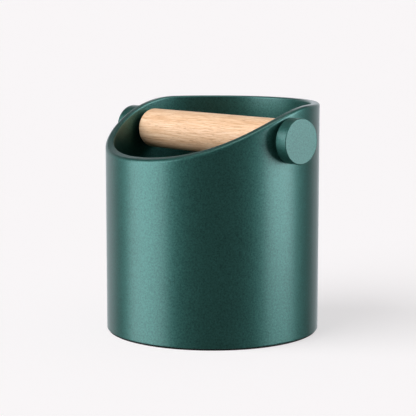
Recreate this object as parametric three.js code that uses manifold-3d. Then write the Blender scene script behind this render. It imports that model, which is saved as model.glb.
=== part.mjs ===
// Espresso knock box: an open metal pot with a wave-cut rim and a wooden knock bar across its mouth.
// The bar turns on a steel axle. The left knob is locked to the axle. The right knob unscrews, so that
// the axle can be drawn out to the left and the bar taken away for washing.
// Millimetres. +Z is up, +X runs along the bar towards the knob that unscrews, and -Y is the low side of
// the rim. The origin is the centre of the foot, on the surface that the box stands on.
import * as THREE from "three";
import { mergeVertices } from "three/addons/utils/BufferGeometryUtils.js";
import Module from "manifold-3d";

const wasm = await Module();
wasm.setup();

// ---- Driving dimensions ----
const BODY_R = 56; // outer radius of the pot
const WALL = 4.5;
const HEIGHT = 120; // top of the rim at the back
const FOOT_PROUD = 0.8; // how far the foot ring holds the pot off the surface

// The rim, seen along the bar: a smooth ramp from a low front to a level back.
const RIM_LOW = 92.3;
const RIM_RAMP_START_Y = -69;
const RIM_RAMP_END_Y = 18.4;
const RIM_OUTER_ROUND = 1.8;
const RIM_INNER_ROUND = 1.2;

// The bottom: a lip inside the wall carries the gasket and the floor plate.
const BASE_CHAMFER = 0.5;
const LIP_BOTTOM = 3.8;
const LIP_THICKNESS = 3.5;
const LIP_INNER_R = 41;
const GASKET_THICKNESS = 0.8;
const GASKET_INNER_R = 42;
const PLATE_THICKNESS = 4;
const PLATE_GAP = 0.3; // between the wall and the plate or the gasket
const FOOT_INNER_R = 43.5;
const FOOT_EDGE_ROUND = 0.8;
const FOOT_BRIM_R = 55.2; // the brim lies under the end of the wall
const FOOT_BRIM_THICKNESS = 0.7;

// Floor screws: countersunk, from below, through the lip and the gasket into the plate.
const SCREW_COUNT = 4;
const SCREW_CIRCLE_R = 47;
const SCREW_R = 1.5;
const SCREW_HEAD_R = 2.9;
const SCREW_HEAD_HEIGHT = 1.6;
const SCREW_LENGTH = 7;
const SCREW_GAP = 0.25;
const SCREW_SOCKET_FLATS = 2;
const SCREW_SOCKET_DEPTH = 1.1;

// The bar and its axle, which cross the pot's axis.
const AXLE_Z = 103.6;
const BAR_R = 10.5;
const BAR_LENGTH = 97;
const BAR_END_ROUND = 1.6;
const BAR_BORE_R = 4.6;
const BAR_BUSH_R = 6.5;
const BAR_BUSH_LENGTH = 12;
const BAR_BUSH_GAP = 0.3;
const ROD_R = 4;
const ROD_THREAD_R = 3;
const ROD_THREAD_LENGTH = 4.8;
const ROD_CHAMFER = 0.5;
const RUNNING_GAP = 0.25; // around the rod and between the pieces that turn

// The knobs, their washers and the bushes in the wall.
const KNOB_R = 11.5;
const KNOB_THICKNESS = 6.8;
const KNOB_BASE_X = 57.6; // inner face of a tightened knob
const KNOB_CHAMFER = 0.4;
const KNOB_HOLE_DEPTH = 5.4;
const KNOB_WASHER_R = 6.5;
const KNOB_WASHER_THICKNESS = 0.5;
const FACE_GAP = 0.05; // between the faces that a tightened knob presses together
const WALL_HOLE_R = 6;
const WALL_BUSH_R = 5.7;
const WALL_BUSH_FLANGE_R = 9;
const WALL_BUSH_INNER_X = 50.5;
const WALL_BUSH_SADDLE_GAP = 0.15;
const THRUST_WASHER_R = 8;
const THRUST_WASHER_THICKNESS = 1.6;
const THRUST_WASHER_GAP = 0.2;
const SET_SCREW_R = 1.5;
const SET_SCREW_LENGTH = 7;
const SET_SCREW_GAP = 0.2;

// Facets round each kind of piece, and how far a cutting shape runs past what it cuts.
const BODY_FACETS = 72;
const RING_FACETS = 48;
const BAR_FACETS = 36;
const AXLE_FACETS = 24;
const SCREW_FACETS = 12;
const ROUND_STEPS = 2;
const RUN_PAST = 1;

// ---- Materials ----
const finish = (color, roughness, metalness) =>
  new THREE.MeshStandardMaterial({ color, roughness, metalness });
const GREEN_METAL = finish(0x1f5a50, 0.42, 0.8);
const PLATE_METAL = finish(0x1f5a50, 0.5, 0.8);
const STEEL = finish(0xb9bcbe, 0.3, 1);
const BRASS = finish(0xb58f45, 0.35, 1);
const OAK = finish(0xdcb189, 0.6, 0);
const RUBBER = finish(0x17191a, 0.85, 0);
const NYLON = finish(0x2b2d2e, 0.6, 0);

// ---- Shape tools ----

// Points of an arc about (centreR, centreZ) in a profile, from one angle to another, in degrees.
function arc(centreR, centreZ, radius, from, to, steps = ROUND_STEPS) {
  return Array.from({ length: steps + 1 }, (_, i) => {
    const angle = THREE.MathUtils.degToRad(from + ((to - from) * i) / steps);
    return [centreR + radius * Math.cos(angle), centreZ + radius * Math.sin(angle)];
  });
}

// Revolves a profile of [radius, height] points about +Z. The profile runs with the material on its
// left. It starts and ends on the axis, or else it is closed here.
function revolveZ(profile, facets) {
  const points = profile.map(([r, z]) => new THREE.Vector2(r, z));
  const onAxis = profile[0][0] === 0 && profile[profile.length - 1][0] === 0;
  if (!onAxis) points.push(points[0].clone());
  return new THREE.LatheGeometry(points, facets).rotateX(Math.PI / 2);
}

// The same about +X, through the axle's line: heights become places along X.
function revolveX(profile, facets) {
  return revolveZ(profile, facets).rotateY(Math.PI / 2).translate(0, 0, AXLE_Z);
}

// A geometry as a manifold-3d solid.
function toSolid(geometry) {
  const bare = geometry.clone();
  bare.deleteAttribute("normal");
  bare.deleteAttribute("uv");
  const merged = mergeVertices(bare, 1e-4);
  const mesh = new wasm.Mesh({
    numProp: 3,
    vertProperties: merged.getAttribute("position").array,
    triVerts: new Uint32Array(merged.index.array),
  });
  return new wasm.Manifold(mesh);
}

// A manifold-3d solid as a geometry.
function toGeometry(solid) {
  const mesh = solid.getMesh();
  const geometry = new THREE.BufferGeometry();
  geometry.setAttribute("position", new THREE.BufferAttribute(mesh.vertProperties, 3));
  geometry.setIndex(new THREE.BufferAttribute(mesh.triVerts, 1));
  geometry.computeVertexNormals();
  return geometry;
}

// Cuts each tool geometry out of a geometry.
function cut(geometry, tools) {
  const solid = tools.reduce((rest, tool) => rest.subtract(toSolid(tool)), toSolid(geometry));
  return toGeometry(solid);
}

// Mirrors a closed geometry across the plane X = 0, and keeps its faces pointing out.
function mirrorX(geometry) {
  const mirrored = (geometry.index ? geometry.toNonIndexed() : geometry.clone()).scale(-1, 1, 1);
  const position = mirrored.getAttribute("position");
  const held = new THREE.Vector3();
  for (let i = 0; i < position.count; i += 3) {
    held.fromBufferAttribute(position, i);
    position.setXYZ(i, position.getX(i + 1), position.getY(i + 1), position.getZ(i + 1));
    position.setXYZ(i + 1, held.x, held.y, held.z);
  }
  mirrored.computeVertexNormals();
  return mirrored;
}

function piece(name, geometry, material) {
  const mesh = new THREE.Mesh(geometry, material);
  mesh.name = name;
  return mesh;
}

// ---- The pot ----

// Height of the rim above the surface at a distance y from the bar's plane.
function rimHeight(y) {
  const run = (y - RIM_RAMP_START_Y) / (RIM_RAMP_END_Y - RIM_RAMP_START_Y);
  const u = THREE.MathUtils.clamp(run, 0, 1);
  return RIM_LOW + (HEIGHT - RIM_LOW) * u * u * (3 - 2 * u);
}

// Where each floor screw stands, counted round from between +X and +Y.
const screwIndices = Array.from({ length: SCREW_COUNT }, (_, i) => i);

// Moves a geometry made on the pot's axis to the place of one floor screw.
function atScrew(geometry, index) {
  const angle = ((index + 0.5) * 2 * Math.PI) / SCREW_COUNT;
  return geometry.translate(SCREW_CIRCLE_R * Math.cos(angle), SCREW_CIRCLE_R * Math.sin(angle), 0);
}

// Drills for all the floor screws, pointing up: a countersink, then a clearance hole up to a height.
function screwDrills(top) {
  const headR = SCREW_HEAD_R + SCREW_GAP;
  const shankR = SCREW_R + SCREW_GAP;
  const profile = [
    [0, LIP_BOTTOM - RUN_PAST],
    [headR, LIP_BOTTOM - RUN_PAST],
    [headR, LIP_BOTTOM + SCREW_GAP],
    [shankR, LIP_BOTTOM + SCREW_GAP + SCREW_HEAD_HEIGHT],
    [shankR, top],
    [0, top],
  ];
  return screwIndices.map((index) => atScrew(revolveZ(profile, SCREW_FACETS), index));
}

// Heights and radii that follow from the stack of lip, gasket and plate.
const lipTop = LIP_BOTTOM + LIP_THICKNESS;
const plateBottom = lipTop + GASKET_THICKNESS;
const plateTop = plateBottom + PLATE_THICKNESS;
const innerR = BODY_R - WALL;
const fittedR = innerR - PLATE_GAP; // what drops into the pot, or stands in the recess under it

function bodyShell() {
  const profile = [
    [BODY_R - BASE_CHAMFER, FOOT_PROUD],
    [BODY_R, FOOT_PROUD + BASE_CHAMFER],
    ...arc(BODY_R - RIM_OUTER_ROUND, HEIGHT - RIM_OUTER_ROUND, RIM_OUTER_ROUND, 0, 90),
    ...arc(innerR + RIM_INNER_ROUND, HEIGHT - RIM_INNER_ROUND, RIM_INNER_ROUND, 90, 180),
    [innerR, lipTop],
    [LIP_INNER_R, lipTop],
    [LIP_INNER_R, LIP_BOTTOM],
    [innerR, LIP_BOTTOM],
    [innerR, FOOT_PROUD],
  ];
  const shell = revolveZ(profile, BODY_FACETS);
  // The rim's points follow the ramp. Everything below them stays level.
  const position = shell.getAttribute("position");
  for (let i = 0; i < position.count; i++) {
    const z = position.getZ(i);
    if (z > HEIGHT / 2) position.setZ(i, z - HEIGHT + rimHeight(position.getY(i)));
  }
  const wallDrill = rodX(WALL_HOLE_R, -BODY_R - RUN_PAST, BODY_R + RUN_PAST);
  return cut(shell, [wallDrill, ...screwDrills(lipTop + RUN_PAST)]);
}

function floorPlate() {
  const plate = revolveZ(
    [
      [0, plateBottom],
      [fittedR, plateBottom],
      [fittedR, plateTop],
      [0, plateTop],
    ],
    RING_FACETS,
  );
  return cut(plate, screwDrills(LIP_BOTTOM + SCREW_LENGTH + SCREW_GAP));
}

function floorGasket() {
  const ring = revolveZ(
    [
      [GASKET_INNER_R, lipTop],
      [fittedR, lipTop],
      [fittedR, plateBottom],
      [GASKET_INNER_R, plateBottom],
    ],
    RING_FACETS,
  );
  return cut(ring, screwDrills(plateBottom + RUN_PAST));
}

// A countersunk screw with a hexagon socket in the head, which faces down.
function floorScrew(index) {
  const top = LIP_BOTTOM + SCREW_LENGTH;
  const screw = revolveZ(
    [
      [0, LIP_BOTTOM],
      [SCREW_HEAD_R, LIP_BOTTOM],
      [SCREW_R, LIP_BOTTOM + SCREW_HEAD_HEIGHT],
      [SCREW_R, top],
      [0, top],
    ],
    SCREW_FACETS,
  );
  const socketR = SCREW_SOCKET_FLATS / Math.sqrt(3);
  const socket = revolveZ(
    [
      [0, LIP_BOTTOM - RUN_PAST],
      [socketR, LIP_BOTTOM - RUN_PAST],
      [socketR, LIP_BOTTOM + SCREW_SOCKET_DEPTH],
      [0, LIP_BOTTOM + SCREW_SOCKET_DEPTH],
    ],
    6,
  );
  return atScrew(cut(screw, [socket]), index);
}

// The soft ring that the pot stands on. It fills the recess and covers the screws' heads, and its
// thin brim lies between the end of the wall and the surface.
function footRing() {
  const round = FOOT_EDGE_ROUND;
  return revolveZ(
    [
      ...arc(FOOT_INNER_R + round, round, round, 180, 270),
      [FOOT_BRIM_R, 0],
      [FOOT_BRIM_R, FOOT_BRIM_THICKNESS],
      [fittedR, FOOT_BRIM_THICKNESS],
      [fittedR, LIP_BOTTOM],
      [FOOT_INNER_R, LIP_BOTTOM],
    ],
    RING_FACETS,
  );
}

// ---- Bushes and washers. The right-hand ones are made here, and the left-hand ones are mirrored ----

// A round rod on the axle's line, from one X to another.
function rodX(radius, fromX, toX, facets = AXLE_FACETS) {
  return revolveX(
    [
      [0, fromX],
      [radius, fromX],
      [radius, toX],
      [0, toX],
    ],
    facets,
  );
}

// A plain ring round the axle, from one X to another.
function ringX(outer, fromX, toX) {
  const inner = ROD_R + RUNNING_GAP;
  return revolveX(
    [
      [inner, fromX],
      [outer, fromX],
      [outer, toX],
      [inner, toX],
    ],
    AXLE_FACETS,
  );
}

const barEndX = BAR_LENGTH / 2;
const barBush = () => ringX(BAR_BUSH_R, barEndX - BAR_BUSH_LENGTH, barEndX);

const thrustWasherX = barEndX + THRUST_WASHER_GAP;
const thrustWasher = () =>
  ringX(THRUST_WASHER_R, thrustWasherX, thrustWasherX + THRUST_WASHER_THICKNESS);

const knobWasherOuterX = KNOB_BASE_X - FACE_GAP;
const knobWasherInnerX = knobWasherOuterX - KNOB_WASHER_THICKNESS;
const knobWasher = () => ringX(KNOB_WASHER_R, knobWasherInnerX, knobWasherOuterX);

// A soft flanged bush in the wall's hole. Its flange is hollowed to sit on the curved wall.
function wallBush() {
  const flangeX = knobWasherInnerX - FACE_GAP;
  const bush = revolveX(
    [
      [ROD_R + RUNNING_GAP, WALL_BUSH_INNER_X],
      [WALL_BUSH_R, WALL_BUSH_INNER_X],
      [WALL_BUSH_R, innerR],
      [WALL_BUSH_FLANGE_R, innerR],
      [WALL_BUSH_FLANGE_R, flangeX],
      [ROD_R + RUNNING_GAP, flangeX],
    ],
    AXLE_FACETS,
  );
  // What is cut from the flange: the pot, all but the sleeve that passes through its wall.
  const potR = BODY_R + WALL_BUSH_SADDLE_GAP;
  const below = AXLE_Z - 2 * WALL_BUSH_FLANGE_R;
  const above = AXLE_Z + 2 * WALL_BUSH_FLANGE_R;
  const pot = revolveZ(
    [
      [0, below],
      [potR, below],
      [potR, above],
      [0, above],
    ],
    BODY_FACETS,
  );
  const sleeve = rodX(WALL_BUSH_R, WALL_BUSH_INNER_X - RUN_PAST, flangeX + RUN_PAST);
  return cut(bush, [cut(pot, [sleeve])]);
}

// ---- The axle, the bar and the knobs ----

// The rod: a plain journal with a shoulder and a thinner threaded end on each side.
function axleRod() {
  const shoulderX = KNOB_BASE_X - FACE_GAP;
  const endX = shoulderX + ROD_THREAD_LENGTH;
  return revolveX(
    [
      [0, -endX],
      [ROD_THREAD_R - ROD_CHAMFER, -endX],
      [ROD_THREAD_R, -endX + ROD_CHAMFER],
      [ROD_THREAD_R, -shoulderX],
      [ROD_R, -shoulderX],
      [ROD_R, shoulderX],
      [ROD_THREAD_R, shoulderX],
      [ROD_THREAD_R, endX - ROD_CHAMFER],
      [ROD_THREAD_R - ROD_CHAMFER, endX],
      [0, endX],
    ],
    AXLE_FACETS,
  );
}

// The wooden bar: a round sleeve with rounded ends, and a wider seat for a bush in each end.
function barSleeve() {
  const round = BAR_END_ROUND;
  const seatR = BAR_BUSH_R + BAR_BUSH_GAP;
  const seatX = barEndX - BAR_BUSH_LENGTH - BAR_BUSH_GAP;
  return revolveX(
    [
      [BAR_BORE_R, -seatX],
      [seatR, -seatX],
      [seatR, -barEndX],
      ...arc(BAR_R - round, -barEndX + round, round, -90, 0),
      ...arc(BAR_R - round, barEndX - round, round, 0, 90),
      [seatR, barEndX],
      [seatR, seatX],
      [BAR_BORE_R, seatX],
    ],
    BAR_FACETS,
  );
}

// A plain round knob with a blind hole for the axle's thread.
function knob() {
  const holeR = ROD_THREAD_R + RUNNING_GAP;
  const faceX = KNOB_BASE_X + KNOB_THICKNESS;
  return revolveX(
    [
      [0, KNOB_BASE_X + KNOB_HOLE_DEPTH],
      [holeR, KNOB_BASE_X + KNOB_HOLE_DEPTH],
      [holeR, KNOB_BASE_X],
      [KNOB_R - KNOB_CHAMFER, KNOB_BASE_X],
      [KNOB_R, KNOB_BASE_X + KNOB_CHAMFER],
      [KNOB_R, faceX - KNOB_CHAMFER],
      [KNOB_R - KNOB_CHAMFER, faceX],
      [0, faceX],
    ],
    BAR_FACETS,
  );
}

// An upright pin half way through the left knob's thickness, from one height to another.
function setScrewPin(radius, bottom, top) {
  const pin = revolveZ(
    [
      [0, bottom],
      [radius, bottom],
      [radius, top],
      [0, top],
    ],
    SCREW_FACETS,
  );
  return pin.translate(-(KNOB_BASE_X + KNOB_THICKNESS / 2), 0, 0);
}

// The left knob has a hole up to the axle for the set screw that locks it there.
function leftKnob() {
  const holeR = SET_SCREW_R + SET_SCREW_GAP;
  return cut(mirrorX(knob()), [setScrewPin(holeR, AXLE_Z - KNOB_R - RUN_PAST, AXLE_Z - ROD_THREAD_R)]);
}

function setScrew() {
  const top = AXLE_Z - ROD_THREAD_R - SET_SCREW_GAP;
  return setScrewPin(SET_SCREW_R, top - SET_SCREW_LENGTH, top);
}

// ---- Assembly: the pot, the bar, the axle with the left knob, and the knob that unscrews ----

const knockBox = new THREE.Group();

knockBox.add(
  piece("body_shell", bodyShell(), GREEN_METAL),
  piece("floor_plate", floorPlate(), PLATE_METAL),
  piece("floor_gasket", floorGasket(), RUBBER),
  piece("foot_ring", footRing(), RUBBER),
  ...screwIndices.map((index) => piece(`floor_screw_${index + 1}`, floorScrew(index), STEEL)),
  piece("right_wall_bush", wallBush(), RUBBER),
  piece("left_wall_bush", mirrorX(wallBush()), RUBBER),
);

knockBox.add(
  piece("bar_sleeve", barSleeve(), OAK),
  piece("right_bar_bush", barBush(), BRASS),
  piece("left_bar_bush", mirrorX(barBush()), BRASS),
  piece("right_thrust_washer", thrustWasher(), NYLON),
  piece("left_thrust_washer", mirrorX(thrustWasher()), NYLON),
);

knockBox.add(
  piece("axle_rod", axleRod(), STEEL),
  piece("left_knob", leftKnob(), GREEN_METAL),
  piece("left_knob_set_screw", setScrew(), STEEL),
  piece("left_knob_washer", mirrorX(knobWasher()), STEEL),
);

knockBox.add(
  piece("right_knob_washer", knobWasher(), STEEL),
  piece("right_knob", knob(), GREEN_METAL),
);

export default knockBox;
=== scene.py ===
"""Studio scene of an espresso knock box: a green metal pot with a wave-cut rim, a wooden knock bar
across its mouth and two round knobs on the bar's axle. Metres, +Z up, +X along the bar."""

import math

import bmesh
import bpy
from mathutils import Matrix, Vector

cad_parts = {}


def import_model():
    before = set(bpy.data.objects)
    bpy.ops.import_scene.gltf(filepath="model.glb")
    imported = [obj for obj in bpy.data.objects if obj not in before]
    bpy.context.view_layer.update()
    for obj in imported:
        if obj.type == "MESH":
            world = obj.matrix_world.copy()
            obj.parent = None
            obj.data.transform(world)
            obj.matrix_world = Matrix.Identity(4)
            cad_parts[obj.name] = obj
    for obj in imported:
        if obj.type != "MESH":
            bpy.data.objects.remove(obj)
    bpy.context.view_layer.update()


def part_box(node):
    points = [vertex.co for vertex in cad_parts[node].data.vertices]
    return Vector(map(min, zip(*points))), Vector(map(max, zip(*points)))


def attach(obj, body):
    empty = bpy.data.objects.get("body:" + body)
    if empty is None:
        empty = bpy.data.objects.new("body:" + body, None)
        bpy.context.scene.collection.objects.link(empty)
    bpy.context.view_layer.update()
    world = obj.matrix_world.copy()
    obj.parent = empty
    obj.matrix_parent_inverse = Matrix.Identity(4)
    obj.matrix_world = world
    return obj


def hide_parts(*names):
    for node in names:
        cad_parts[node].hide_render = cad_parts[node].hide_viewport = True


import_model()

MM = 0.001

# ---- Sizes: from the frame's boxes, and in millimetres where no box shows them ----
shell_low, shell_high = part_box("body_shell")
plate_low, plate_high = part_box("floor_plate")
gasket_low, gasket_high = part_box("floor_gasket")
foot_low, foot_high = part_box("foot_ring")
bar_low, bar_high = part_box("bar_sleeve")
knob_low, knob_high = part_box("right_knob")
bush_low, bush_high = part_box("right_wall_bush")
rod_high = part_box("axle_rod")[1]
thrust_low, thrust_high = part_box("right_thrust_washer")
knob_washer_low, knob_washer_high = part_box("right_knob_washer")
bar_bush_low, bar_bush_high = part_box("right_bar_bush")
set_screw_low, set_screw_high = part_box("left_knob_set_screw")

BODY_R = shell_high.x
HEIGHT = shell_high.z
AXLE_Z = (bar_low.z + bar_high.z) / 2
WALL = 4.5 * MM
INNER_R = BODY_R - WALL
WALL_HOLE_R = 5.8 * MM

# The rim climbs from front to back along a smooth ramp. The ramp's low end lies in front of the pot.
RIM_RAMP_LOW = 92.3 * MM
RIM_RAMP_START_Y = -69 * MM
RIM_RAMP_END_Y = 18.4 * MM
RIM_OUTER_ROUND = 1.5 * MM
RIM_INNER_ROUND = 1.0 * MM

# The lip inside the wall carries the floor plate on its gasket. The foot ring is fitted below it.
LIP_INNER_R = 41 * MM
LIP_BOTTOM = foot_high.z
LIP_TOP = gasket_low.z
GASKET_INNER_R = 42 * MM
FOOT_INNER_R = 43.5 * MM
FOOT_OUTER_R = INNER_R - 0.3 * MM
FOOT_BRIM_TOP = 0.7 * MM
GROOVES = 4
GROOVE_FIRST_R = 46.4 * MM
GROOVE_STEP = 2 * MM
GROOVE_HALF_WIDTH = 0.35 * MM
GROOVE_DEPTH = 0.3 * MM
SOCKET_R = 1.15 * MM
FLOOR_SCREW_SHANK_R = 1.5 * MM

ROD_R = 4 * MM
ROD_THREAD_R = 3 * MM
ROD_SHOULDER_X = 57.55 * MM
THREAD_PITCH = 1 * MM
THREAD_DEPTH = 0.55 * MM
BORE_R = 4.2 * MM
BAR_BORE_R = 4.6 * MM
BAR_END_ROUND = 2.3 * MM
BUSH_NECK_R = 5.7 * MM
KNOB_HOLE_R = 3.25 * MM
KNOB_HOLE_DEPTH = 5.4 * MM
SET_SCREW_HOLE_R = 1.65 * MM

SHARP_ANGLE = 35  # degrees. A steeper edge is shaded sharp
WELD = 0.002 * MM  # points closer than this become one
TOUCH = 0.01 * MM  # how near a surface a point still counts as on it


# ---- Small tools ----
def clamped(value):
    """A number kept within 0 to 1."""
    return min(1, max(0, value))


def new_object(name, data):
    """An object made of some data and put in the scene."""
    made = bpy.data.objects.new(name, data)
    bpy.context.scene.collection.objects.link(made)
    return made


# ---- Mesh tools ----
def rounded(corners, steps=6, guard=0.25 * MM):
    """A closed profile of (radius, height) points from corners of (radius, height, round-over).

    Beside each round-over a guard point keeps the flat next to it flat when it is shaded smooth.
    """
    profile = []
    count = len(corners)
    for i, (r, z, radius) in enumerate(corners):
        here = Vector((r, z))
        if radius == 0:
            profile.append(here)
            continue
        before = Vector(corners[i - 1][:2]) - here
        after = Vector(corners[(i + 1) % count][:2]) - here
        turn = before.angle(after)
        reach = radius / math.tan(turn / 2)
        centre_way = (before.normalized() + after.normalized()).normalized()
        centre = here + centre_way * (radius / math.sin(turn / 2))
        start = here + before.normalized() * reach - centre
        end = here + after.normalized() * reach - centre
        sweep = math.atan2(start.x * end.y - start.y * end.x, start.dot(end))
        if before.length > reach + 2 * guard:
            profile.append(here + before.normalized() * (reach + guard))
        for k in range(steps + 1):
            angle = sweep * k / steps
            c = math.cos(angle)
            s = math.sin(angle)
            profile.append(centre + Vector((start.x * c - start.y * s, start.x * s + start.y * c)))
        if after.length > reach + 2 * guard:
            profile.append(here + after.normalized() * (reach + guard))
    return profile


def filled(profile, longest):
    """The same closed profile with points added, so that no stretch of it is longer than a limit."""
    points = []
    for i, here in enumerate(profile):
        there = profile[(i + 1) % len(profile)]
        pieces = max(1, math.ceil((there - here).length / longest))
        points += [here.lerp(there, k / pieces) for k in range(pieces)]
    return points


def revolve(profile, segments):
    """A bmesh of a closed profile turned about +Z. Points on the axis become a single vertex."""
    mesh = bmesh.new()
    rings = []
    for r, z in profile:
        if r < 1e-7:
            rings.append([mesh.verts.new((0, 0, z))] * segments)
            continue
        angles = [2 * math.pi * k / segments for k in range(segments)]
        rings.append([mesh.verts.new((r * math.cos(a), r * math.sin(a), z)) for a in angles])
    for i, low in enumerate(rings):
        high = rings[(i + 1) % len(rings)]
        if low[0] is low[1] and high[0] is high[1]:
            continue
        for k in range(segments):
            n = (k + 1) % segments
            corners = [low[k], low[n], high[n], high[k]]
            mesh.faces.new(dict.fromkeys(corners))
    bmesh.ops.recalc_face_normals(mesh, faces=mesh.faces)
    return mesh


def along_bar(mesh, side=1):
    """Lays a mesh made about +Z on the axle's line, with its heights along +X or, for side -1, -X."""
    for vert in mesh.verts:
        x, y, z = vert.co
        vert.co = (side * z, side * y, AXLE_Z + x)
    mesh.normal_update()
    bmesh.ops.recalc_face_normals(mesh, faces=mesh.faces)
    return mesh


def add_piece(name, mesh, body, material, slot, *nodes):
    """Makes a piece of a bmesh, which rides on a body and stands for CAD nodes."""
    data = bpy.data.meshes.new(name)
    mesh.to_mesh(data)
    mesh.free()
    data.shade_smooth()
    data.set_sharp_from_angle(angle=math.radians(SHARP_ANGLE))
    data.materials.append(material)
    piece = new_object(name, data)
    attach(piece, body)
    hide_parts(*nodes)


def subtract(mesh, cutter):
    """One bmesh less another. Both are used up."""
    objects = []
    for name, part in (("cut_base", mesh), ("cut_tool", cutter)):
        data = bpy.data.meshes.new(name)
        part.to_mesh(data)
        part.free()
        objects.append(new_object(name, data))
    base, tool = objects
    modifier = base.modifiers.new("cut", "BOOLEAN")
    modifier.operation = "DIFFERENCE"
    modifier.solver = "EXACT"
    modifier.object = tool
    graph = bpy.context.evaluated_depsgraph_get()
    result = bmesh.new()
    result.from_object(base, graph)
    bmesh.ops.remove_doubles(result, verts=result.verts, dist=WELD)
    for made in objects:
        data = made.data
        bpy.data.objects.remove(made)
        bpy.data.meshes.remove(data)
    return result


def plain_rod(radius, low, high, segments=64):
    """A bmesh of a plain round rod about +Z, for cutting with."""
    return revolve([Vector(p) for p in ((0, low), (radius, low), (radius, high), (0, high))], segments)


# ---- Material tools ----
def linear(r, g, b):
    """A colour given as 0 to 255, as shaders want it."""
    values = (r / 255, g / 255, b / 255)
    return tuple(v / 12.92 if v <= 0.04045 else ((v + 0.055) / 1.055) ** 2.4 for v in values)


class Finish:
    """A node material with one Principled shader, and short ways to add to it."""

    def __init__(self, name, **sockets):
        self.material = bpy.data.materials.new(name)
        self.material.use_nodes = True
        self.tree = self.material.node_tree
        self.shader = self.tree.nodes["Principled BSDF"]
        for key, value in sockets.items():
            self.shader.inputs[key.replace("_", " ")].default_value = value

    def node(self, kind, **settings):
        """A new node with some of its settings changed."""
        made = self.tree.nodes.new(kind)
        for key, value in settings.items():
            setattr(made, key, value)
        return made

    def link(self, out, into):
        self.tree.links.new(out, into)

    def place(self, stretch=(1, 1, 1)):
        """Places on the object, scaled along each axis. A scale below 1 draws a pattern out."""
        coords = self.node("ShaderNodeTexCoord")
        mapping = self.node("ShaderNodeMapping")
        mapping.inputs["Scale"].default_value = stretch
        self.link(coords.outputs["Object"], mapping.inputs["Vector"])
        return mapping.outputs["Vector"]

    def noise(self, scale, detail=3, stretch=(1, 1, 1), roughness=0.5, distortion=0):
        """Noise on the object, with about scale blots to the metre."""
        made = self.node("ShaderNodeTexNoise")
        made.inputs["Scale"].default_value = scale
        made.inputs["Detail"].default_value = detail
        made.inputs["Roughness"].default_value = roughness
        made.inputs["Distortion"].default_value = distortion
        self.link(self.place(stretch), made.inputs["Vector"])
        return made.outputs["Fac"]

    def ramp(self, value, stops):
        """A value turned into colours: stops of (place, colour)."""
        made = self.node("ShaderNodeValToRGB")
        elements = made.color_ramp.elements
        while len(elements) < len(stops):
            elements.new(0.5)
        for element, (place, color) in zip(elements, stops):
            element.position = place
            element.color = (*color, 1)
        self.link(value, made.inputs["Fac"])
        return made.outputs["Color"]

    def span(self, value, low, high, from_low=0.3, from_high=0.7):
        """A value moved from one range to another."""
        made = self.node("ShaderNodeMapRange")
        for socket, number in zip(made.inputs[1:5], (from_low, from_high, low, high)):
            socket.default_value = number
        self.link(value, made.inputs["Value"])
        return made.outputs["Result"]

    def mix(self, factor, a, b):
        """Two colours mixed. The factor is a number or a socket, and a colour is a tuple or a socket."""
        made = self.node("ShaderNodeMix", data_type="RGBA")
        for socket, value in ((made.inputs[0], factor), (made.inputs[6], a), (made.inputs[7], b)):
            if isinstance(value, bpy.types.NodeSocket):
                self.link(value, socket)
            elif isinstance(value, tuple):
                socket.default_value = (*value, 1)
            else:
                socket.default_value = value
        return made.outputs[2]

    def bump(self, height, strength, distance):
        """Adds to the surface's relief. Each call's relief lies on top of the last one's."""
        made = self.node("ShaderNodeBump")
        made.inputs["Strength"].default_value = strength
        made.inputs["Distance"].default_value = distance
        self.link(height, made.inputs["Height"])
        if self.shader.inputs["Normal"].is_linked:
            self.link(self.shader.inputs["Normal"].links[0].from_socket, made.inputs["Normal"])
        self.link(made.outputs["Normal"], self.shader.inputs["Normal"])


# ---- Materials ----
def green_metal(name, smooth, rough):
    """Satin metallic lacquer: fine flakes in a dark green, under a thin satin clear coat."""
    f = Finish(name, Metallic=0.85, Coat_Weight=0.8, Coat_Roughness=0.3, Coat_IOR=1.5)
    flakes = f.noise(1150, detail=3, roughness=0.8)
    clouds = f.noise(45, detail=4)
    tint = f.ramp(flakes, [(0.3, linear(22, 76, 69)), (0.7, linear(68, 130, 121))])
    cloudy = f.ramp(clouds, [(0.3, linear(34, 86, 79)), (0.7, linear(60, 122, 113))])
    f.link(f.mix(0.12, tint, cloudy), f.shader.inputs["Base Color"])
    f.link(f.span(flakes, smooth, rough), f.shader.inputs["Roughness"])
    f.bump(flakes, 0.15, 0.02 * MM)
    return f.material


def pale_wood():
    """Oiled pale wood, with its grain along the bar and short dark flecks in it."""
    f = Finish("pale_wood", Roughness=0.5, Specular_IOR_Level=0.4)
    streaks = f.noise(2000, detail=4, stretch=(0.04, 1, 1), roughness=0.7)
    bands = f.noise(420, detail=3, stretch=(0.03, 1, 1), distortion=0.3)
    flecks = f.noise(2400, detail=2, stretch=(0.09, 1, 1))
    broad = f.ramp(bands, [
        (0.3, linear(216, 169, 127)),
        (0.5, linear(236, 195, 156)),
        (0.7, linear(246, 213, 180)),
    ])
    fine = f.ramp(streaks, [
        (0.3, linear(180, 126, 82)),
        (0.5, linear(234, 193, 154)),
        (0.68, linear(255, 231, 204)),
    ])
    wood = f.mix(0.65, broad, fine)
    fleck_mask = f.span(flecks, 0.0, 0.5, 0.58, 0.7)
    f.link(f.mix(fleck_mask, wood, linear(164, 108, 66)), f.shader.inputs["Base Color"])
    f.link(f.span(streaks, 0.40, 0.58), f.shader.inputs["Roughness"])
    f.bump(streaks, 0.3, 0.06 * MM)
    f.bump(flecks, 0.25, 0.05 * MM)
    return f.material


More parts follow.
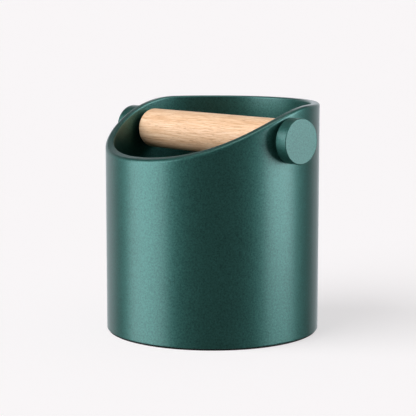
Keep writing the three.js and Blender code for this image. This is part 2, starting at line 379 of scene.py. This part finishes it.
def black_rubber():
    """Moulded soft rubber with a fine matte texture."""
    f = Finish("black_rubber", Roughness=0.8, Specular_IOR_Level=0.3)
    grain = f.noise(1800, detail=3)
    tint = f.ramp(grain, [(0.3, linear(20, 21, 22)), (0.7, linear(32, 33, 34))])
    f.link(tint, f.shader.inputs["Base Color"])
    f.link(f.span(grain, 0.7, 0.9), f.shader.inputs["Roughness"])
    f.bump(grain, 0.3, 0.03 * MM)
    return f.material


def dark_nylon():
    """Turned dark nylon."""
    f = Finish("dark_nylon", Roughness=0.55)
    grain = f.noise(1200, detail=3)
    tint = f.ramp(grain, [(0.3, linear(24, 25, 27)), (0.7, linear(38, 39, 41))])
    f.link(tint, f.shader.inputs["Base Color"])
    f.link(f.span(grain, 0.48, 0.64), f.shader.inputs["Roughness"])
    f.bump(grain, 0.15, 0.02 * MM)
    return f.material


def turned_metal(name, light, dark):
    """Bare turned metal, with fine marks across the X axis and a little staining."""
    f = Finish(name, Metallic=1.0, Roughness=0.3)
    turning = f.noise(6000, detail=2, stretch=(1, 0.05, 0.05))
    stains = f.noise(220, detail=4)
    f.link(f.mix(f.span(stains, 0.0, 0.5), light, dark), f.shader.inputs["Base Color"])
    f.link(f.span(turning, 0.22, 0.4), f.shader.inputs["Roughness"])
    f.bump(turning, 0.15, 0.02 * MM)
    return f.material


GREEN = green_metal("green_metal", 0.40, 0.50)
GREEN_TURNED = green_metal("green_metal_turned", 0.46, 0.56)
WOOD = pale_wood()
RUBBER = black_rubber()
NYLON = dark_nylon()
STEEL = turned_metal("turned_steel", linear(205, 207, 210), linear(160, 162, 166))
BRASS = turned_metal("turned_brass", linear(206, 168, 96), linear(150, 112, 52))


# ---- The pot ----
def rim_height(y):
    """Height of the rim at a distance y behind the axle."""
    u = clamped((y - RIM_RAMP_START_Y) / (RIM_RAMP_END_Y - RIM_RAMP_START_Y))
    return RIM_RAMP_LOW + (HEIGHT - RIM_RAMP_LOW) * u * u * (3 - 2 * u)


def body_shell():
    """The wall with its lip, its wave-cut rim and the two holes for the bushes."""
    corners = [
        (BODY_R, shell_low.z, 0.5 * MM),
        (BODY_R, HEIGHT, RIM_OUTER_ROUND),
        (INNER_R, HEIGHT, RIM_INNER_ROUND),
        (INNER_R, LIP_TOP, 0.4 * MM),
        (LIP_INNER_R, LIP_TOP, 0.4 * MM),
        (LIP_INNER_R, LIP_BOTTOM, 0.4 * MM),
        (INNER_R, LIP_BOTTOM, 0.2 * MM),
        (INNER_R, shell_low.z, 0.4 * MM),
    ]
    mesh = revolve(filled(rounded(corners, steps=8), 5 * MM), 288)
    # The rim comes down to its ramp with its round-overs whole, and the rows below it close up.
    still = HEIGHT / 2
    moved = HEIGHT - 2.5 * MM
    for vert in mesh.verts:
        share = clamped((vert.co.z - still) / (moved - still))
        vert.co.z -= (HEIGHT - rim_height(vert.co.y)) * share
    for side in (1, -1):
        drill = plain_rod(WALL_HOLE_R, INNER_R - 4 * MM, BODY_R + 2 * MM, 96)
        mesh = subtract(mesh, along_bar(drill, side))
    add_piece("pot_shell", mesh, "container", GREEN, "green_metal", "body_shell")


def floor_plate():
    """A round plate with softened edges."""
    outer = plate_high.x
    corners = [
        (0, plate_low.z, 0),
        (outer, plate_low.z, 0.3 * MM),
        (outer, plate_high.z, 0.6 * MM),
        (0, plate_high.z, 0),
    ]
    mesh = revolve(filled(rounded(corners), 6 * MM), 144)
    add_piece("pot_floor", mesh, "container", GREEN, "green_metal", "floor_plate")


def floor_gasket():
    """A flat soft ring between the lip and the floor plate."""
    outer = gasket_high.x
    edge = 0.25 * MM
    corners = [
        (GASKET_INNER_R, gasket_low.z, edge),
        (outer, gasket_low.z, edge),
        (outer, gasket_high.z, edge),
        (GASKET_INNER_R, gasket_high.z, edge),
    ]
    mesh = revolve(rounded(corners, steps=4, guard=0.05 * MM), 144)
    add_piece("pot_gasket", mesh, "container", RUBBER, "rubber", "floor_gasket")


def foot_ring():
    """A soft ring with shallow grip grooves underneath and a thin brim under the end of the wall."""
    groove_top = foot_low.z + GROOVE_DEPTH
    top_half_width = GROOVE_HALF_WIDTH * 0.6
    corners = [(FOOT_INNER_R, foot_high.z, 0.2 * MM), (FOOT_INNER_R, foot_low.z, 0.9 * MM)]
    for k in range(GROOVES):
        middle = GROOVE_FIRST_R + k * GROOVE_STEP
        corners += [
            (middle - GROOVE_HALF_WIDTH, foot_low.z, 0.1 * MM),
            (middle - top_half_width, groove_top, 0.08 * MM),
            (middle + top_half_width, groove_top, 0.08 * MM),
            (middle + GROOVE_HALF_WIDTH, foot_low.z, 0.1 * MM),
        ]
    corners += [
        (foot_high.x, foot_low.z, 0.15 * MM),
        (foot_high.x, FOOT_BRIM_TOP, 0.15 * MM),
        (FOOT_OUTER_R, FOOT_BRIM_TOP, 0.1 * MM),
        (FOOT_OUTER_R, foot_high.z, 0.2 * MM),
    ]
    mesh = revolve(rounded(corners, steps=4, guard=0.1 * MM), 192)
    add_piece("pot_foot", mesh, "container", RUBBER, "rubber", "foot_ring")


def screw(low, high, head_r, shank_r, head_height, socket_depth):
    """A bmesh about +Z of a screw with a hexagon socket in its lower end.

    The head tapers to the shank. With equal radii it is a headless screw.
    """
    corners = [
        (0, low, 0),
        (head_r, low, 0.15 * MM),
        (shank_r, low + head_height, 0),
        (shank_r, high, 0.3 * MM),
        (0, high, 0),
    ]
    body = revolve(rounded(corners, steps=3, guard=0.05 * MM), 48)
    socket = plain_rod(SOCKET_R, low - 1 * MM, low + socket_depth, 6)
    return subtract(body, socket)


def floor_screws():
    """The four screws that hold the floor plate to the lip, put in from below."""
    for index in range(1, 5):
        node = f"floor_screw_{index}"
        low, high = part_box(node)
        middle = (low + high) / 2
        head_r = (high.x - low.x) / 2
        mesh = screw(low.z, high.z, head_r, FLOOR_SCREW_SHANK_R, 1.6 * MM, 1.1 * MM)
        bmesh.ops.translate(mesh, verts=mesh.verts, vec=(middle.x, middle.y, 0))
        add_piece(f"pot_screw_{index}", mesh, "container", STEEL, "steel", node)


def wall_bush(side, name, node):
    """A soft flanged bush. The back of its flange is shaped to the curve of the wall."""
    flange_r = bush_high.z - AXLE_Z
    corners = [
        (BORE_R, bush_low.x, 0.3 * MM),
        (BUSH_NECK_R, bush_low.x, 0.5 * MM),
        (BUSH_NECK_R, INNER_R, 0),
        (flange_r, INNER_R, 0),
        (flange_r, bush_high.x, 0.35 * MM),
        (BORE_R, bush_high.x, 0.2 * MM),
    ]
    gap = 0.03 * MM
    mesh = revolve(filled(rounded(corners, steps=4, guard=0.1 * MM), 0.8 * MM), 96)
    for vert in mesh.verts:
        radius = vert.co.xy.length
        on_back = abs(vert.co.z - INNER_R) < TOUCH and radius > BUSH_NECK_R - 0.05 * MM
        in_wall = radius > flange_r - TOUCH and vert.co.z < BODY_R
        if on_back or in_wall:
            wall_x = math.sqrt(BODY_R**2 - vert.co.y**2)
            vert.co.z = max(vert.co.z, wall_x + gap)
    bmesh.ops.remove_doubles(mesh, verts=mesh.verts, dist=WELD)
    add_piece(name, along_bar(mesh, side), "container", RUBBER, "rubber", node)


def ring(name, node, low, high, outer, body, material, slot, side, edge=0.25 * MM):
    """A plain ring on the axle, from low to high along the bar."""
    corners = [(BORE_R, low, edge), (outer, low, edge), (outer, high, edge), (BORE_R, high, edge)]
    mesh = revolve(rounded(corners, steps=4, guard=0.05 * MM), 96)
    add_piece(name, along_bar(mesh, side), body, material, slot, node)


# ---- The bar ----
def bar_sleeve():
    """A wooden sleeve with rounded ends, and a wider seat in each end for its bush."""
    end = bar_high.x
    bar_r = bar_high.z - AXLE_Z
    seat_r = bar_bush_high.z - AXLE_Z + 0.05 * MM
    seat_x = bar_bush_low.x - 0.3 * MM
    corners = [
        (BAR_BORE_R, -seat_x, 0),
        (seat_r, -seat_x, 0),
        (seat_r, -end, 0.3 * MM),
        (bar_r, -end, BAR_END_ROUND),
        (bar_r, end, BAR_END_ROUND),
        (seat_r, end, 0.3 * MM),
        (seat_r, seat_x, 0),
        (BAR_BORE_R, seat_x, 0),
    ]
    mesh = revolve(filled(rounded(corners, steps=10), 4 * MM), 128)
    add_piece("bar_wood", along_bar(mesh), "knock_bar", WOOD, "oak", "bar_sleeve")


# ---- The axle and the knobs ----
def axle_rod():
    """A turned rod. Its two thin ends carry a cut thread."""
    end = rod_high.x
    length = end - ROD_SHOULDER_X
    rows_per_turn = 16
    rows = int(length / THREAD_PITCH * rows_per_turn)
    right = [(ROD_R, x * MM) for x in range(5, 56, 5)]
    right += [(ROD_R, ROD_SHOULDER_X - 0.4 * MM), (ROD_R - 0.3 * MM, ROD_SHOULDER_X - 0.01 * MM)]
    right += [(ROD_THREAD_R, ROD_SHOULDER_X + length * k / rows) for k in range(rows + 1)]
    right += [(0, end)]
    left = [(r, -x) for r, x in reversed(right)]
    mesh = revolve([Vector(p) for p in left + [(ROD_R, 0)] + right], 72)
    # The thread is cut into the thin ends. It runs in over half a turn and ends in a chamfer.
    for vert in mesh.verts:
        radius = vert.co.xy.length
        along = abs(vert.co.z)
        if radius < 1e-6 or along < ROD_SHOULDER_X - 0.005 * MM:
            continue
        turn = math.atan2(vert.co.y, vert.co.x) / (2 * math.pi)
        phase = (vert.co.z / THREAD_PITCH - turn) % 1
        depth = THREAD_DEPTH * (1 - abs(2 * phase - 1))
        share = clamped((along - ROD_SHOULDER_X) / (0.5 * THREAD_PITCH))
        chamfer = max(0, along - (end - 0.5 * MM))
        goal = ROD_THREAD_R - max(depth * share, chamfer)
        vert.co.xy *= goal / radius
    add_piece("axle_steel", along_bar(mesh), "axle", STEEL, "steel", "axle_rod")


def knob():
    """A bmesh about +Z of a turned knob with a blind hole in its inner face."""
    inner, face = knob_low.x, knob_high.x
    radius = knob_high.z - AXLE_Z
    hole_end = inner + KNOB_HOLE_DEPTH
    corners = [
        (0, hole_end, 0),
        (KNOB_HOLE_R, hole_end, 0),
        (KNOB_HOLE_R, inner, 0.3 * MM),
        (radius, inner, 0.35 * MM),
        (radius, face, 0.45 * MM),
        (0, face, 0),
    ]
    return revolve(filled(rounded(corners, steps=5, guard=0.12 * MM), 1.5 * MM), 128)


def knobs():
    """Both knobs, and the set screw in the left one's lower side."""
    right = along_bar(knob())
    add_piece("knob_right", right, "right_knob", GREEN_TURNED, "green_metal", "right_knob")
    left = along_bar(knob(), -1)
    hole = plain_rod(SET_SCREW_HOLE_R, knob_low.z - 2 * MM, AXLE_Z - ROD_THREAD_R, 32)
    middle = -(knob_low.x + knob_high.x) / 2
    bmesh.ops.translate(hole, verts=hole.verts, vec=(middle, 0, 0))
    add_piece("knob_left", subtract(left, hole), "axle", GREEN_TURNED, "green_metal", "left_knob")
    pin_r = (set_screw_high.x - set_screw_low.x) / 2
    pin = screw(set_screw_low.z, set_screw_high.z, pin_r, pin_r, 0.5 * MM, 1.4 * MM)
    bmesh.ops.translate(pin, verts=pin.verts, vec=(middle, 0, 0))
    add_piece("knob_left_screw", pin, "axle", STEEL, "steel", "left_knob_set_screw")


def bushes_and_washers():
    """What sits on the axle at each end: wall bush, bar bush, thrust washer and knob washer."""
    for side, word in ((1, "right"), (-1, "left")):
        washer_body = "right_washer" if side > 0 else "axle"
        wall_bush(side, f"wall_bush_{word}", f"{word}_wall_bush")
        ring(f"bar_bush_{word}", f"{word}_bar_bush", bar_bush_low.x, bar_bush_high.x,
             bar_bush_high.z - AXLE_Z, "knock_bar", BRASS, "brass", side)
        ring(f"thrust_washer_{word}", f"{word}_thrust_washer", thrust_low.x, thrust_high.x,
             thrust_high.z - AXLE_Z, "knock_bar", NYLON, "nylon", side)
        ring(f"knob_washer_{word}", f"{word}_knob_washer", knob_washer_low.x, knob_washer_high.x,
             knob_washer_high.z - AXLE_Z, washer_body, STEEL, "steel", side, 0.15 * MM)


body_shell()
floor_plate()
floor_gasket()
foot_ring()
floor_screws()
bar_sleeve()
axle_rod()
knobs()
bushes_and_washers()


# ---- Floor, light and camera. Angles are in degrees, lens and sensor in millimetres ----
CAMERA_AZIMUTH = 46.88  # from -Y towards +X
CAMERA_DISTANCE = 0.7823
CAMERA_HEIGHT = 0.1742
CAMERA_PITCH = 8.02  # below the level
CAMERA_YAW = 0.17
CAMERA_LENS = 129.4
SENSOR_WIDTH = 36

PALE = linear(248, 245, 246)
CARD_DISTANCE = 2.0
CARD_COLOR = (0.97, 0.98, 1.05)
FLOOR_HALF = 100


def around(azimuth, distance, height):
    """A point round the pot, at an azimuth counted from the camera's side of it."""
    angle = math.radians(CAMERA_AZIMUTH + azimuth)
    return Vector((distance * math.sin(angle), -distance * math.cos(angle), height))


def camera():
    """A long lens, far enough off that the pot's uprights look parallel."""
    data = bpy.data.cameras.new("camera")
    data.lens = CAMERA_LENS
    data.sensor_width = SENSOR_WIDTH
    made = new_object("camera", data)
    made.location = around(0, CAMERA_DISTANCE, CAMERA_HEIGHT)
    made.rotation_euler = (
        math.radians(90 - CAMERA_PITCH),
        0,
        math.radians(CAMERA_AZIMUTH + CAMERA_YAW),
    )
    bpy.context.scene.camera = made


def light_gloss_only(light):
    """Keeps a light out of view and away from matte surfaces, so that it only makes highlights."""
    light.visible_camera = False
    light.visible_diffuse = False


def card(name, azimuth, width, low, high, radiance):
    """An upright bright card round the pot, which only gloss sees.

    All but the radiance are angles as seen from the pot: where its middle is, how wide it is, and
    how far down and up it reaches.
    """
    bottom = CARD_DISTANCE * math.tan(math.radians(low))
    top = CARD_DISTANCE * math.tan(math.radians(high))
    data = bpy.data.lights.new(name, "AREA")
    data.shape = "RECTANGLE"
    data.size = 2 * CARD_DISTANCE * math.tan(math.radians(width / 2))
    data.size_y = top - bottom
    data.energy = radiance * math.pi * data.size * data.size_y
    data.color = CARD_COLOR
    made = new_object(name, data)
    made.location = around(azimuth, CARD_DISTANCE, HEIGHT / 2 + (bottom + top) / 2)
    way = Vector((-made.location.x, -made.location.y, 0))
    made.rotation_euler = way.to_track_quat("-Z", "Y").to_euler()
    light_gloss_only(made)


def top_card(size, height, radiance):
    """A square bright card over the pot, which only gloss sees."""
    data = bpy.data.lights.new("top_card", "AREA")
    data.size = size
    data.energy = radiance * math.pi * size * size
    made = new_object("top_card", data)
    made.location = (0, 0, height)
    light_gloss_only(made)


def glow(name, azimuth, elevation, strength, spread):
    """Broad soft light for the floor and what isn't glossy. Spread is its width across the sky."""
    data = bpy.data.lights.new(name, "SUN")
    data.energy = strength
    data.angle = math.radians(spread)
    made = new_object(name, data)
    tilt = math.radians(elevation)
    way = around(azimuth, math.cos(tilt), math.sin(tilt))
    made.rotation_euler = (-way).to_track_quat("-Z", "Y").to_euler()
    made.visible_glossy = False


def world():
    """A pale room to look at, which lights the object only a little."""
    made = bpy.data.worlds.new("room")
    made.use_nodes = True
    bpy.context.scene.world = made
    nodes, links = made.node_tree.nodes, made.node_tree.links
    lit = nodes["Background"]
    lit.inputs["Color"].default_value = (1, 1, 1, 1)
    lit.inputs["Strength"].default_value = 0.06
    seen = nodes.new("ShaderNodeBackground")
    seen.inputs["Color"].default_value = (*PALE, 1)
    path = nodes.new("ShaderNodeLightPath")
    mix = nodes.new("ShaderNodeMixShader")
    links.new(path.outputs["Is Camera Ray"], mix.inputs[0])
    links.new(lit.outputs[0], mix.inputs[1])
    links.new(seen.outputs[0], mix.inputs[2])
    links.new(mix.outputs[0], nodes["World Output"].inputs["Surface"])


def studio_floor():
    """A plain pale floor. It glows a little, so that it is as pale as the room behind it."""
    mesh = bmesh.new()
    bmesh.ops.create_grid(mesh, x_segments=1, y_segments=1, size=FLOOR_HALF)
    data = bpy.data.meshes.new("studio_floor")
    mesh.to_mesh(data)
    mesh.free()
    f = Finish("studio_floor", Roughness=0.9, Specular_IOR_Level=0)
    f.shader.inputs["Base Color"].default_value = (*linear(168, 166, 167), 1)
    f.shader.inputs["Emission Color"].default_value = (*PALE, 1)
    f.shader.inputs["Emission Strength"].default_value = 0.67
    data.materials.append(f.material)
    made = new_object("studio_floor", data)
    made.visible_glossy = False
    made.visible_shadow = False


camera()
world()
studio_floor()
glow("ceiling_glow", 0, 90, 0.6, 100)
glow("front_glow", -62, 33, 3.2, 64)
card("left_card", -74, 48, -20, 38, 3.0)
card("right_card", 76, 36, -12, 46, 4.3)
card("back_left_card", -142, 32, -18, 24, 0.6)
card("back_card", 180, 44, -22, 24, 1.1)
card("back_right_card", 146, 26, -18, 24, 0.5)
top_card(0.9, 1.3, 1.6)
bpy.context.scene.view_settings.view_transform = "Standard"
